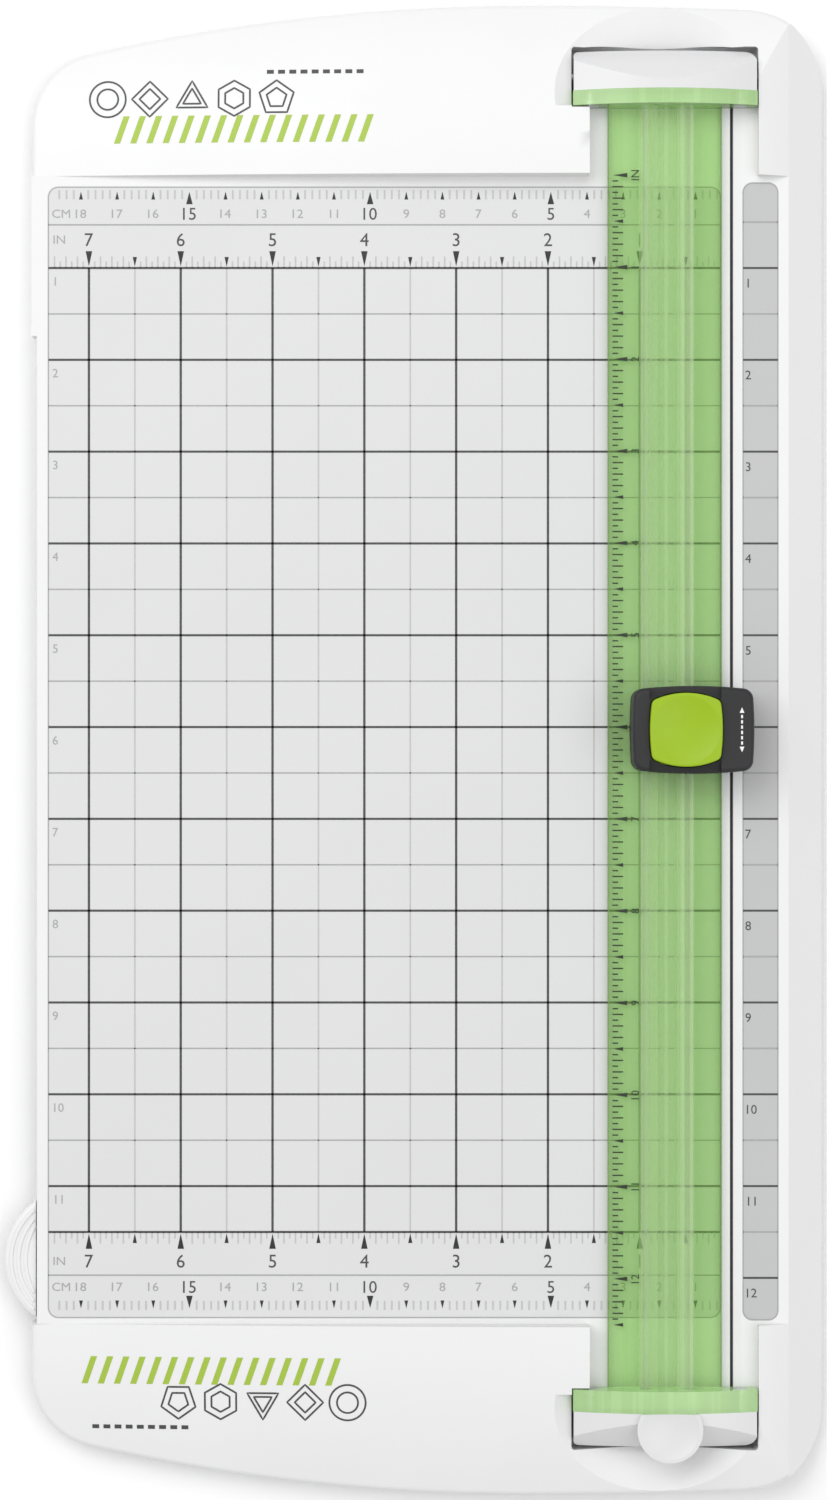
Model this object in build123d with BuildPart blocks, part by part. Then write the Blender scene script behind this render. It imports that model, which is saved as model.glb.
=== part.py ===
from build123d import *
from math import cos, radians, sin, sqrt
import os

# Rotary paper trimmer: a ribbed base with a swing-out ruler, and a hinged rail that carries a
# sliding carriage with a press-down rotary blade. Millimetres. The origin is the middle of the
# base on the plane it stands on, +Y runs along the cut to the hinge, +X to the narrow margin.

os.makedirs("parts", exist_ok=True)

inch = 25.4
slack = 0.4  # gap between parts that move past each other

# Base outline: each end is a crown of two arcs that meet at the peak
half_width = 109.7
peak_x = 25.5
peak_y = 206.3
left_crown_r = 552.0
right_crown_r = 1660.0
left_corner_r = 20.0
right_corner_r = 22.0

# Levels
foot_recess_top = 1.8
cover_bottom = 1.2
cover_top = 3.2
platform_z = 13.0
cell_top = 10.8
well_floor = 5.0

# Heads: a dome, curved along and across, that rises from the platform behind a straight step
step_y = 6.25 * inch
dome_top = 20.0
dome_x = 55.0
dome_y = 160.0
dome_r_along = 132.0
dome_r_across = 1800.0
blank_top = 24.0
shoulder_x = 99.8
shoulder_z = 4.7
rim_fillet = 1.6
roll_start = (78.0, 20.8)
roll_middle = (90.5, 17.4)

# Cut line, rail and the wells at its ends
cut_x = 84.0
rail_left = 49.6
rail_right = 81.2
rail_bottom = platform_z + 0.3
rail_near = -176.1
rail_far = 177.5
channel_left = 44.5
well_left = 39.6
well_right = 91.2
well_inner = 178.0
well_outer = 194.3
near_well_outer = 193.4
well_back = 3.0  # how far inside the outer wall the flange pocket ends
well_corner_r = 1.0
scoop_x = 63.7
scoop_y = 177.5
scoop_r = 28.7
scoop_slope = 0.62
scoop_tilt = 13.6
scoop_rim_z = 18.8
scoop_depth = 11.0
scoop_rise = 8.0

# Mat, side strip and cutting strip lie flush in recesses
sheet_t = 0.4
mat_left = -105.3
mat_near = -157.3
mat_far = 156.0
mat_corner_r = 3.0
strip_left = 87.0
strip_right = 97.0
strip_near = -157.9
strip_far = 157.1
strip_corner_r = 2.8
insert_left = 81.6
insert_right = 86.6
insert_bottom = 9.5
insert_half_length = 177.6
groove_w = 0.9
groove_depth = 2.2

# Ribs under the platform: cells in rows and columns with 2 mm walls between
rib_t = 2.0
cell_w = 39.0
cell_h = 32.6
cell_columns = 4
cell_rows = 10
cells_left = -84.0
boss_r = 3.2
pilot_r = 1.1
pilot_depth = 6.0

# Swing-out arm in the left side
arm_pivot_x = -98.5
arm_pivot_y = 103.0
arm_half_w = 11.0
arm_end_y = -157.4
arm_bottom = 4.4
arm_top = 8.4
slot_top = 8.9
slot_margin = 0.6
slot_lip_x = -108.2
slot_end_room = 0.7
pivot_r = 4.0
running_gap = 0.05
tab_out_x = -117.5
tab_mid_y = -141.4
tab_far_y = -125.0
tab_root_x = -108.7
tab_bottom = 3.4
tab_top = 11.0
tab_ridges = 3
ridge_w = 0.8
ridge_h = 0.5
ridge_pitch = 2.0
ridge_root = 0.5
ridge_shortening = 1.2
tab_edge_r = 1.2
arm_corner_r = 4.0

# Hinge
pin_y = 186.5
pin_z = 10.5
pin_r = 1.5
pin_left = 36.6
pin_right = 94.2
pin_chamfer = 0.3

# End caps
cap_left = 40.2
cap_right = 90.6
cap_inner = 181.7
hinge_cap_outer = 193.5
latch_cap_inner = 182.2
latch_cap_outer = 192.7
latch_cap_bottom = 6.0
cap_edge_z = 13.2
cap_brow = 5.4
cap_brow_z = 20.2
cap_top_slope = -0.2
cap_edge_slope = -1.7
cap_crown = 0.7
cap_right_r = 3.3
cap_left_r = 1.5
flange_left = 40.0
flange_right = 90.8
flange_mid_z = 23.2
flange_end_z = 18.2
knuckle_r = 5.2
swing_r = 8.4
lift_tab_x = 66.4
lift_tab_y = -186.5
lift_tab_r = 9.0
lift_tab_bottom = 12.0
lift_tab_top = 24.2
lift_dish_r = 24.0
lift_dish_depth = 1.4

# Rail section
web_top = 15.1
lip_top = 15.5
lip_w = 1.0
rib_left = 58.5
rib_right = 73.1
rib_wall = 2.5
track_top = 19.5
track_lip_z = 18.3
track_slot_left = 63.2
track_slot_right = 68.5

# Carriage
carriage_left = 55.6
carriage_right = 88.9
carriage_y = 5.5
carriage_half_l = 12.0
carriage_side_bulge = 0.5
carriage_end_bulge = 1.0
carriage_corner_r = 3.0
carriage_fillet = 1.4
finger_left = 60.2
finger_right = 79.8
finger_start = 8.2
finger_middle = 10.2
finger_middle_z = 30.2
finger_z = 29.0
skirt_right = 58.1
skirt_bottom = 15.9
guard_left = 81.6
carriage_top = 32.0
carriage_floor = track_top + slack
floor_t = 1.5
cavity_left = 58.6
cavity_right = 81.6
cavity_top = 27.9
cavity_half_l = 10.6
chamber_right = 86.2
chamber_half_l = 8.8
chamber_top = 30.6
guard_bottom = 14.0

# Button, blade and what carries it
button_x = 70.2
button_w = 19.8
button_l = 20.1
button_top = 34.0
button_flange_bottom = 26.0
button_flange_top = 27.5
button_gap = 0.3
button_side_bulge = 0.6
button_end_bulge = 2.2
button_corner_r = 1.8
button_edge_r = 0.5
button_flange_w = 21.6
button_flange_l = 19.0
button_flange_corner_r = 1.5
dish_r = 34.0
dish_depth = 1.3
pocket_r = 4.5
axle_z = 22.2
axle_r = 1.5
axle_head_r = 3.0
axle_head_t = 1.0
blade_r = 8.0
blade_t = 0.3
blade_bevel = 0.8
blade_gap = 0.35
washer_thin = 0.3
carrier_r = 3.4
carrier_left = 75.5
carrier_web_t = 3.5
carrier_top = 28.5
spring_x = 66.5
spring_r = 3.2
spring_wire_r = 0.35
spring_top = 30.5
spring_turns = 5
post_r = 2.2
post_h = 2.6
slider_half_l = 10.0
slider_screw_y = 7.0
slider_screw_r = 1.0
slider_head_r = 1.8
slider_head_t = 0.9
slider_bite = 3.0


def crown_y(x, radius):
    # y of a crown: a circle through the peak whose centre is straight below it
    return peak_y - radius + sqrt(radius**2 - (x - peak_x) ** 2)


def crown_arc(x, radius, end):
    # crown from the peak out to x, at the far end (+1) or the near end (-1)
    middle = (x + peak_x) / 2
    ThreePointArc(
        (peak_x, end * peak_y),
        (middle, end * crown_y(middle, radius)),
        (x, end * crown_y(x, radius)),
    )


def barrel(width, length, side_bulge, end_bulge, corner_r):
    # rectangle whose four sides bulge outwards to the stated width and length
    half_w, half_l = width / 2, length / 2
    side_w, side_l = half_w - side_bulge, half_l - end_bulge
    with BuildSketch() as section:
        with BuildLine():
            for side in (1, -1):
                ThreePointArc((-side_w, side * side_l), (0, side * half_l), (side_w, side * side_l))
                ThreePointArc((side * side_w, -side_l), (side * half_w, 0), (side * side_w, side_l))
        make_face()
        fillet(section.vertices(), corner_r)
    return section.sketch


with BuildSketch() as outline:
    with BuildLine():
        for end in (1, -1):
            crown_arc(half_width, right_crown_r, end)
            crown_arc(-half_width, left_crown_r, end)
        right_y = crown_y(half_width, right_crown_r)
        left_y = crown_y(-half_width, left_crown_r)
        Line((half_width, -right_y), (half_width, right_y))
        Line((-half_width, -left_y), (-half_width, left_y))
    make_face()
    fillet(outline.vertices().group_by(Axis.X)[0], left_corner_r)
    fillet(outline.vertices().group_by(Axis.X)[-1], right_corner_r)


def on_rim(edge):
    # an edge that lies over the outline, seen from above
    middle = edge @ 0.5
    return outline.wire().distance_to(Vertex(middle.X, middle.Y, 0)) < 0.01


with BuildSketch() as mat_outline:
    with Locations(((mat_left + rail_right) / 2, (mat_near + mat_far) / 2)):
        RectangleRounded(rail_right - mat_left, mat_far - mat_near, mat_corner_r)

with BuildSketch() as strip_outline:
    with Locations(((strip_left + strip_right) / 2, (strip_near + strip_far) / 2)):
        RectangleRounded(strip_right - strip_left, strip_far - strip_near, strip_corner_r)

# Side slot: the arm's shape with room round it, open to the left
slot_near = arm_end_y - slot_margin - slot_end_room
slot_far = arm_pivot_y + arm_half_w + slot_margin
slot_right = arm_pivot_x + arm_half_w + slot_margin
with BuildSketch() as slot_outline:
    with Locations((arm_pivot_x, arm_pivot_y)):
        Circle(arm_half_w + slot_margin)
        Rectangle(half_width, 2 * (arm_half_w + slot_margin), align=(Align.MAX, Align.CENTER))
    with Locations((slot_right, arm_pivot_y)):
        Rectangle(half_width, arm_pivot_y - slot_near, align=(Align.MAX, Align.MAX))

# Ribs and cells under the platform
cell_pitch_x = cell_w + rib_t
cell_pitch_y = cell_h + rib_t
margin_cell_x = 93.6
margin_cell_w = 9.0
head_cell_y = 185.0
head_cell_l = 18.0
head_cell_top = 7.6
head_cell_columns = 3
head_cell_w = 35.0
boss_places = [
    (cells_left + column * cell_pitch_x - rib_t / 2, row * cell_pitch_y)
    for column in (1, 3)
    for row in (-4, -1, 1, 4)
]

# Pivot screw and washer under the arm
washer_top = 3.9
washer_t = 0.6
washer_r = 6.5
screw_r = 1.5
pivot_head_r = 2.8
pivot_head_t = 1.5

# Bottom cover, its screws and the feet
cover_inset = 1.6
cover_screw_r = 1.4
cover_head_r = 2.4
cover_head_t = 1.2
drive_slot = 0.5
foot_r = 8.0
foot_places = [(-76.0, -172.0), (-76.0, 172.0), (86.0, -172.0), (86.0, 172.0)]
foot_strip_l = 150.0
foot_strip_w = 10.0
foot_chamfer = 0.4
with BuildSketch() as feet_outline:
    with Locations(*foot_places):
        Circle(foot_r)
    SlotOverall(foot_strip_l, foot_strip_w)

# Screws that hold the caps to the rail's flanges
cap_screw_x = (45.0, 86.0)
cap_screw_z = 16.0
cap_screw_r = 1.2
cap_screw_head_r = 2.2
cap_screw_head_t = 1.6
cap_screw_bite = 5.0
flange_depth = 10.0


def arch(left, right, bottom):
    # plate section whose top is an arc, highest in the middle
    with BuildSketch() as section:
        with BuildLine():
            ThreePointArc((left, flange_end_z), ((left + right) / 2, flange_mid_z), (right, flange_end_z))
            Polyline((right, flange_end_z), (right, bottom), (left, bottom), (left, flange_end_z))
        make_face()
    return section.sketch


def cap_plan(outer):
    # cap seen from above: straight inside, bulging a little outside, a round corner at the right
    end_y = outer - cap_crown
    with BuildSketch() as section:
        with BuildLine():
            ThreePointArc((cap_left, end_y), ((cap_left + cap_right) / 2, outer), (cap_right, end_y))
            Polyline((cap_right, end_y), (cap_right, cap_inner), (cap_left, cap_inner), (cap_left, end_y))
        make_face()
        outer_corners = section.vertices().group_by(Axis.Y)[-1].sort_by(Axis.X)
        fillet(outer_corners[-1], cap_right_r)
        fillet(section.vertices().group_by(Axis.X)[0].sort_by(Axis.Y)[-1], cap_left_r)
    return section.sketch


# Slider screws, and where the blade's stack of parts begins and ends on the axle
slider_screw_places = [(spring_x, carriage_y + side * slider_screw_y) for side in (-1, 1)]
boss_end = cut_x - blade_t / 2 - blade_gap
washer_left = cut_x + blade_t / 2 + blade_gap

# Dome over the far head: an arc along Y, swept about an axis far below and parallel to Y
dome_start = -6.0
dome_sweep = 8.5
dome_plane = Plane(
    origin=(dome_x, 0, dome_top - dome_r_across),
    x_dir=(0, 1, 0),
    z_dir=(cos(radians(dome_start)), 0, -sin(radians(dome_start))),
)


def dome_rise(y):
    # radius of the swept arc at y
    return dome_r_across - dome_r_along + sqrt(dome_r_along**2 - (y - dome_y) ** 2)


with BuildPart() as dome:
    dome_end = peak_y + 8
    dome_mid = (step_y + dome_end) / 2
    dome_under = dome_r_across - (dome_top - cover_bottom)
    with BuildSketch(dome_plane):
        with BuildLine():
            ThreePointArc(
                (step_y, dome_rise(step_y)), (dome_mid, dome_rise(dome_mid)), (dome_end, dome_rise(dome_end))
            )
            Polyline(
                (dome_end, dome_rise(dome_end)),
                (dome_end, dome_under),
                (step_y, dome_under),
                (step_y, dome_rise(step_y)),
            )
        make_face()
    revolve(axis=Axis((dome_x, 0, dome_top - dome_r_across), (0, 1, 0)), revolution_arc=dome_sweep)

# Scoop round each cap: half of a wide cone, tilted with the dome
with BuildPart() as scoop:
    tilt = radians(scoop_tilt)
    scoop_centre = (scoop_x, scoop_y, scoop_rim_z)
    scoop_plane = Plane(origin=scoop_centre, z_dir=(0, sin(tilt), cos(tilt)), x_dir=(1, 0, 0))
    with BuildSketch(scoop_plane.offset(-scoop_depth)):
        Circle(scoop_r - scoop_depth / scoop_slope)
    with BuildSketch(scoop_plane.offset(scoop_rise)):
        Circle(scoop_r + scoop_rise / scoop_slope)
    loft()
    split(bisect_by=Plane.XZ.offset(-scoop_y), keep=Keep.BOTTOM)

# Form that trims the blank: the platform and both domes
with BuildPart() as top_form:
    with Locations((0, 0, platform_z)):
        Box(3 * half_width, 2 * step_y, platform_z, align=(Align.CENTER, Align.CENTER, Align.MAX))
    add(dome.part)
    mirror(dome.part, about=Plane.XZ)

with BuildPart() as base_shell:
    with BuildSketch(Plane.XY.offset(cover_top)):
        add(outline.sketch)
    extrude(amount=blank_top - cover_top)
    add(top_form.part, mode=Mode.INTERSECT)
    # right side: rolls off the heads to the shoulder line, then slopes down to the side
    with BuildSketch(Plane.XZ.offset(-peak_y - 1)):
        with BuildLine():
            ThreePointArc(roll_start, roll_middle, (shoulder_x, platform_z))
            Polyline(
                (shoulder_x, platform_z), (half_width, shoulder_z), (half_width + 1, shoulder_z),
                (half_width + 1, blank_top + 1), (roll_start[0], blank_top + 1), roll_start,
            )
        make_face()
    extrude(amount=2 * peak_y + 2, mode=Mode.SUBTRACT)
    # soft outer rim round both heads
    fillet(base_shell.edges().filter_by(GeomType.BSPLINE).filter_by(on_rim), rim_fillet)

    # recesses for the sheets and the cutting insert
    with BuildSketch(Plane.XY.offset(platform_z - sheet_t)):
        add(mat_outline.sketch)
        add(strip_outline.sketch)
    extrude(amount=sheet_t + 1, mode=Mode.SUBTRACT)
    with BuildSketch(Plane.XY.offset(insert_bottom)):
        with Locations(((insert_left + insert_right) / 2, 0)):
            Rectangle(insert_right - insert_left, 2 * well_inner + 1)
    extrude(amount=blank_top, mode=Mode.SUBTRACT)

    # both ends: channel for the rail, pocket for its flange, well for the cap, scoop round it
    for end, flange_y, outer in ((1, rail_far, well_outer), (-1, -rail_near, near_well_outer)):
        pocket_start, pocket_end = flange_y - slack, outer - well_back
        with BuildSketch(Plane.XY.offset(platform_z)):
            with Locations(((channel_left + well_right) / 2, end * (step_y + well_inner) / 2)):
                Rectangle(well_right - channel_left, well_inner - step_y + 1)
            with Locations(((well_left + well_right) / 2, end * (pocket_start + pocket_end) / 2)):
                Rectangle(well_right - well_left, pocket_end - pocket_start)
        extrude(amount=blank_top, mode=Mode.SUBTRACT)
        with BuildSketch(Plane.XY.offset(well_floor)):
            with Locations(((well_left + well_right) / 2, end * (well_inner + outer) / 2)):
                RectangleRounded(well_right - well_left, outer - well_inner, well_corner_r)
        extrude(amount=blank_top, mode=Mode.SUBTRACT)
    add(scoop.part, mode=Mode.SUBTRACT)
    mirror(scoop.part, about=Plane.XZ, mode=Mode.SUBTRACT)
    # hollow in the hinge well's outer wall, which the cap's edge swings through
    with BuildSketch(Plane.YZ.offset(well_left)):
        with Locations((pin_y, pin_z)):
            Circle(swing_r)
        with Locations((pin_y, well_floor)):
            Rectangle(blank_top, blank_top, align=Align.MIN, mode=Mode.INTERSECT)
    extrude(amount=well_right - well_left, mode=Mode.SUBTRACT)

    # side slot for the swing-out arm, with the pivot boss left standing in it
    with BuildSketch(Plane.XY.offset(cover_top)):
        add(slot_outline.sketch)
    extrude(amount=slot_top - cover_top, mode=Mode.SUBTRACT)
    with BuildSketch(Plane.XY.offset(slot_top)):
        with Locations(((slot_lip_x - half_width - 1) / 2, (slot_far + slot_near) / 2)):
            Rectangle(half_width + 1 + slot_lip_x, slot_far - slot_near)
    extrude(amount=blank_top, mode=Mode.SUBTRACT)
    with BuildSketch(Plane.XY.offset(washer_top)):
        with Locations((arm_pivot_x, arm_pivot_y)):
            Circle(pivot_r)
            Circle(screw_r, mode=Mode.SUBTRACT)
    extrude(amount=slot_top - washer_top)

    # cells between the ribs, open to the bottom cover
    with BuildSketch(Plane.XY.offset(cover_top)):
        with Locations((cells_left + cell_columns * cell_pitch_x / 2 - rib_t / 2, 0)):
            with GridLocations(cell_pitch_x, cell_pitch_y, cell_columns, cell_rows):
                Rectangle(cell_w, cell_h)
        with Locations((margin_cell_x, 0)):
            with GridLocations(1, cell_pitch_y, 1, cell_rows):
                Rectangle(margin_cell_w, cell_h)
        with Locations(*boss_places):
            Circle(boss_r, mode=Mode.SUBTRACT)
    extrude(amount=cell_top - cover_top, mode=Mode.SUBTRACT)
    with BuildSketch(Plane.XY.offset(cover_top)):
        for end in (1, -1):
            head_cells_x = cells_left + head_cell_columns * cell_pitch_x / 2 - rib_t / 2
            with Locations((head_cells_x, end * head_cell_y)):
                with GridLocations(cell_pitch_x, 1, head_cell_columns, 1):
                    Rectangle(head_cell_w, head_cell_l)
    extrude(amount=head_cell_top - cover_top, mode=Mode.SUBTRACT)
    with BuildSketch(Plane.XY.offset(cover_top)):
        with Locations(*boss_places):
            Circle(pilot_r)
    extrude(amount=pilot_depth, mode=Mode.SUBTRACT)

    # the pin's seats: slots from below, rounded at the top, in both walls of the hinge well
    with BuildSketch(Plane.YZ.offset(pin_left)):
        with Locations((pin_y, pin_z)):
            Circle(pin_r)
            Rectangle(2 * pin_r, pin_z - cover_top, align=(Align.CENTER, Align.MAX))
    extrude(amount=well_left - pin_left, mode=Mode.SUBTRACT)
    with BuildSketch(Plane.YZ.offset(well_right)):
        with Locations((pin_y, pin_z)):
            Circle(pin_r)
            Rectangle(2 * pin_r, pin_z - cover_top, align=(Align.CENTER, Align.MAX))
    extrude(amount=pin_right - well_right, mode=Mode.SUBTRACT)
base_shell.part.label = "base_shell"
export_step(base_shell.part, "parts/base_shell.step")

with BuildPart() as bottom_cover:
    with BuildSketch(Plane.XY.offset(cover_bottom)):
        offset(outline.sketch, amount=-cover_inset)
    extrude(amount=cover_top - cover_bottom)
    with BuildSketch(Plane.XY.offset(cover_bottom)):
        add(feet_outline.sketch)
    extrude(amount=foot_recess_top - cover_bottom, mode=Mode.SUBTRACT)
    with BuildSketch(Plane.XY.offset(cover_bottom)):
        with Locations(*boss_places):
            Circle(cover_screw_r)
        with Locations((arm_pivot_x, arm_pivot_y)):
            Circle(washer_r + slack)
    extrude(amount=cover_top - cover_bottom, mode=Mode.SUBTRACT)
    with BuildSketch(Plane.XY.offset(cover_bottom)):
        with Locations(*boss_places):
            Circle(cover_head_r)
    extrude(amount=cover_head_t, mode=Mode.SUBTRACT)
bottom_cover.part.label = "bottom_cover"
export_step(bottom_cover.part, "parts/bottom_cover.step")

# Four round pads and one strip across the middle
with BuildPart() as rubber_feet:
    with BuildSketch():
        add(feet_outline.sketch)
    extrude(amount=foot_recess_top)
    chamfer(rubber_feet.faces().group_by(Axis.Z)[0].edges(), foot_chamfer)
rubber_feet.part.label = "rubber_feet"
export_step(rubber_feet.part, "parts/rubber_feet.step")

with BuildPart() as cover_screws:
    with BuildSketch(Plane.XY.offset(cover_bottom)):
        with Locations(*boss_places):
            Circle(cover_head_r)
    extrude(amount=cover_head_t)
    with BuildSketch(Plane.XY.offset(cover_bottom)):
        with Locations(*boss_places):
            Circle(pilot_r)
    extrude(amount=cover_top - cover_bottom + pilot_depth)
    with BuildSketch(Plane.XY.offset(cover_bottom)):
        with Locations(*boss_places):
            Rectangle(cover_head_r, drive_slot)
            Rectangle(drive_slot, cover_head_r)
    extrude(amount=cover_head_t / 2, mode=Mode.SUBTRACT)
cover_screws.part.label = "cover_screws"
export_step(cover_screws.part, "parts/cover_screws.step")

with BuildPart() as grid_mat:
    with BuildSketch(Plane.XY.offset(platform_z - sheet_t)):
        add(mat_outline.sketch)
    extrude(amount=sheet_t)
grid_mat.part.label = "grid_mat"
export_step(grid_mat.part, "parts/grid_mat.step")

with BuildPart() as side_strip:
    with BuildSketch(Plane.XY.offset(platform_z - sheet_t)):
        add(strip_outline.sketch)
    extrude(amount=sheet_t)
side_strip.part.label = "side_strip"
export_step(side_strip.part, "parts/side_strip.step")

# Insert under the blade: a bar with the narrow groove that the blade runs in
with BuildPart() as cutting_strip:
    with BuildSketch(Plane.XY.offset(insert_bottom)):
        with Locations(((insert_left + insert_right) / 2, 0)):
            Rectangle(insert_right - insert_left, 2 * insert_half_length)
    extrude(amount=platform_z - insert_bottom)
    with BuildSketch(Plane.XY.offset(platform_z)):
        with Locations((cut_x, 0)):
            Rectangle(groove_w, 2 * insert_half_length)
    extrude(amount=-groove_depth, mode=Mode.SUBTRACT)
cutting_strip.part.label = "cutting_strip"
export_step(cutting_strip.part, "parts/cutting_strip.step")

with BuildPart() as hinge_pin:
    with BuildSketch(Plane.YZ.offset(pin_left)):
        with Locations((pin_y, pin_z)):
            Circle(pin_r)
    extrude(amount=pin_right - pin_left)
    chamfer(hinge_pin.edges().filter_by(GeomType.CIRCLE), pin_chamfer)
hinge_pin.part.label = "hinge_pin"
export_step(hinge_pin.part, "parts/hinge_pin.step")

# Blocks that fill the pin's seats from below
with BuildPart() as pin_keepers:
    for left, right in ((pin_left, well_left), (well_right, pin_right)):
        with BuildSketch(Plane.YZ.offset(left)):
            with Locations((pin_y, pin_z)):
                Rectangle(2 * pin_r, pin_z - cover_top, align=(Align.CENTER, Align.MAX))
                Circle(pin_r, mode=Mode.SUBTRACT)
        extrude(amount=right - left)
pin_keepers.part.label = "pin_keepers"
export_step(pin_keepers.part, "parts/pin_keepers.step")

with BuildPart() as pivot_washer:
    with BuildSketch(Plane.XY.offset(washer_top - washer_t)):
        with Locations((arm_pivot_x, arm_pivot_y)):
            Circle(washer_r)
            Circle(screw_r, mode=Mode.SUBTRACT)
    extrude(amount=washer_t)
pivot_washer.part.label = "pivot_washer"
export_step(pivot_washer.part, "parts/pivot_washer.step")

with BuildPart() as pivot_screw:
    head_bottom = washer_top - washer_t - pivot_head_t
    with BuildSketch(Plane.XY.offset(head_bottom)):
        with Locations((arm_pivot_x, arm_pivot_y)):
            Circle(pivot_head_r)
    extrude(amount=pivot_head_t)
    with BuildSketch(Plane.XY.offset(head_bottom)):
        with Locations((arm_pivot_x, arm_pivot_y)):
            Circle(screw_r)
    extrude(amount=slot_top - head_bottom)
    with BuildSketch(Plane.XY.offset(head_bottom)):
        with Locations((arm_pivot_x, arm_pivot_y)):
            RegularPolygon(screw_r, 6)
    extrude(amount=pivot_head_t / 2, mode=Mode.SUBTRACT)
pivot_screw.part.label = "pivot_screw"
export_step(pivot_screw.part, "parts/pivot_screw.step")

# Rail: one extruded section with a T-track, closed at each end by an arched flange
with BuildPart() as rail:
    with BuildSketch(Plane.XZ.offset(-rail_far)):
        with BuildLine():
            Polyline(
                (rail_left, rail_bottom), (rail_right, rail_bottom), (rail_right, lip_top),
                (rail_right - lip_w, lip_top), (rail_right - lip_w, web_top), (rib_right, web_top),
                (rib_right, track_top), (track_slot_right, track_top), (track_slot_right, track_lip_z),
                (rib_right - rib_wall, track_lip_z), (rib_right - rib_wall, web_top),
                (rib_left + rib_wall, web_top), (rib_left + rib_wall, track_lip_z),
                (track_slot_left, track_lip_z), (track_slot_left, track_top), (rib_left, track_top),
                (rib_left, web_top), (rail_left + lip_w, web_top), (rail_left + lip_w, lip_top),
                (rail_left, lip_top), close=True,
            )
        make_face()
    extrude(amount=rail_far - rail_near)
    for inner, outer in ((rail_far, cap_inner), (-latch_cap_inner, rail_near)):
        with BuildSketch(Plane.XZ.offset(-outer)):
            add(arch(flange_left, flange_right, rail_bottom))
        extrude(amount=outer - inner)
    with Locations(*[Location((x, rail_far, cap_screw_z), (90, 0, 0)) for x in cap_screw_x]):
        CounterBoreHole(cap_screw_r, cap_screw_head_r, cap_screw_head_t, flange_depth)
    with Locations(*[Location((x, rail_near, cap_screw_z), (-90, 0, 0)) for x in cap_screw_x]):
        CounterBoreHole(cap_screw_r, cap_screw_head_r, cap_screw_head_t, flange_depth)
rail.part.label = "rail"
export_step(rail.part, "parts/rail.step")

# Hinge cap: its side profile is a knuckle round the pin under a cover that curves down outwards
with BuildPart() as hinge_cap:
    with BuildSketch(Plane.YZ.offset(cap_left)):
        with BuildLine():
            Polyline(
                (hinge_cap_outer, cap_edge_z), (hinge_cap_outer, pin_z + 2), (pin_y, pin_z),
                (cap_inner, pin_z + 2), (cap_inner, blank_top),
            )
            Spline(
                (cap_inner, blank_top), (hinge_cap_outer - cap_brow, cap_brow_z),
                (hinge_cap_outer, cap_edge_z),
                tangents=((1, cap_top_slope), (1, cap_edge_slope)),
            )
        make_face()
        with Locations((pin_y, pin_z)):
            Circle(knuckle_r)
    extrude(amount=cap_right - cap_left)
    with BuildSketch(Plane.XZ.offset(-hinge_cap_outer - 1)):
        add(arch(cap_left, cap_right, cover_top))
    extrude(amount=hinge_cap_outer - cap_inner + 2, mode=Mode.INTERSECT)
    with BuildSketch(Plane.XY):
        add(cap_plan(hinge_cap_outer))
    extrude(amount=blank_top, mode=Mode.INTERSECT)
    with Locations(Location((cap_left, pin_y, pin_z), (0, 90, 0))):
        Hole(pin_r + running_gap)
    with Locations(*[Location((x, cap_inner, cap_screw_z), (90, 0, 0)) for x in cap_screw_x]):
        Hole(cap_screw_r, cap_screw_bite)
hinge_cap.part.label = "hinge_cap"
export_step(hinge_cap.part, "parts/hinge_cap.step")

# Latch cap: the same cover over the near end, with a dished round tab to lift the rail by
with BuildPart() as latch_cap:
    with BuildSketch(Plane.YZ.offset(cap_left)):
        with BuildLine():
            Polyline(
                (-latch_cap_outer, cap_edge_z), (-latch_cap_outer, latch_cap_bottom + 2),
                (-latch_cap_outer + 2, latch_cap_bottom), (-latch_cap_inner, latch_cap_bottom),
                (-latch_cap_inner, blank_top),
            )
            Spline(
                (-latch_cap_inner, blank_top), (-latch_cap_outer + cap_brow, cap_brow_z),
                (-latch_cap_outer, cap_edge_z), tangents=((-1, cap_top_slope), (-1, cap_edge_slope)),
            )
        make_face()
    extrude(amount=cap_right - cap_left)
    with BuildSketch(Plane.XZ.offset(latch_cap_inner - 1)):
        add(arch(cap_left, cap_right, cover_top))
    extrude(amount=latch_cap_outer - latch_cap_inner + 2, mode=Mode.INTERSECT)
    with BuildSketch(Plane.XY):
        mirror(cap_plan(latch_cap_outer), about=Plane.XZ)
    extrude(amount=blank_top, mode=Mode.INTERSECT)
    with BuildSketch(Plane.XY.offset(lift_tab_bottom)):
        with Locations((lift_tab_x, lift_tab_y)):
            Circle(lift_tab_r)
        with Locations((lift_tab_x, -latch_cap_inner)):
            Rectangle(2 * lift_tab_r, 2 * lift_tab_r, align=(Align.CENTER, Align.MIN), mode=Mode.SUBTRACT)
    extrude(amount=lift_tab_top - lift_tab_bottom)
    with Locations((lift_tab_x, lift_tab_y, lift_tab_top - lift_dish_depth + lift_dish_r)):
        Sphere(lift_dish_r, mode=Mode.SUBTRACT)
    with Locations(*[Location((x, -latch_cap_inner, cap_screw_z), (-90, 0, 0)) for x in cap_screw_x]):
        Hole(cap_screw_r, cap_screw_bite)
latch_cap.part.label = "latch_cap"
export_step(latch_cap.part, "parts/latch_cap.step")

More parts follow.
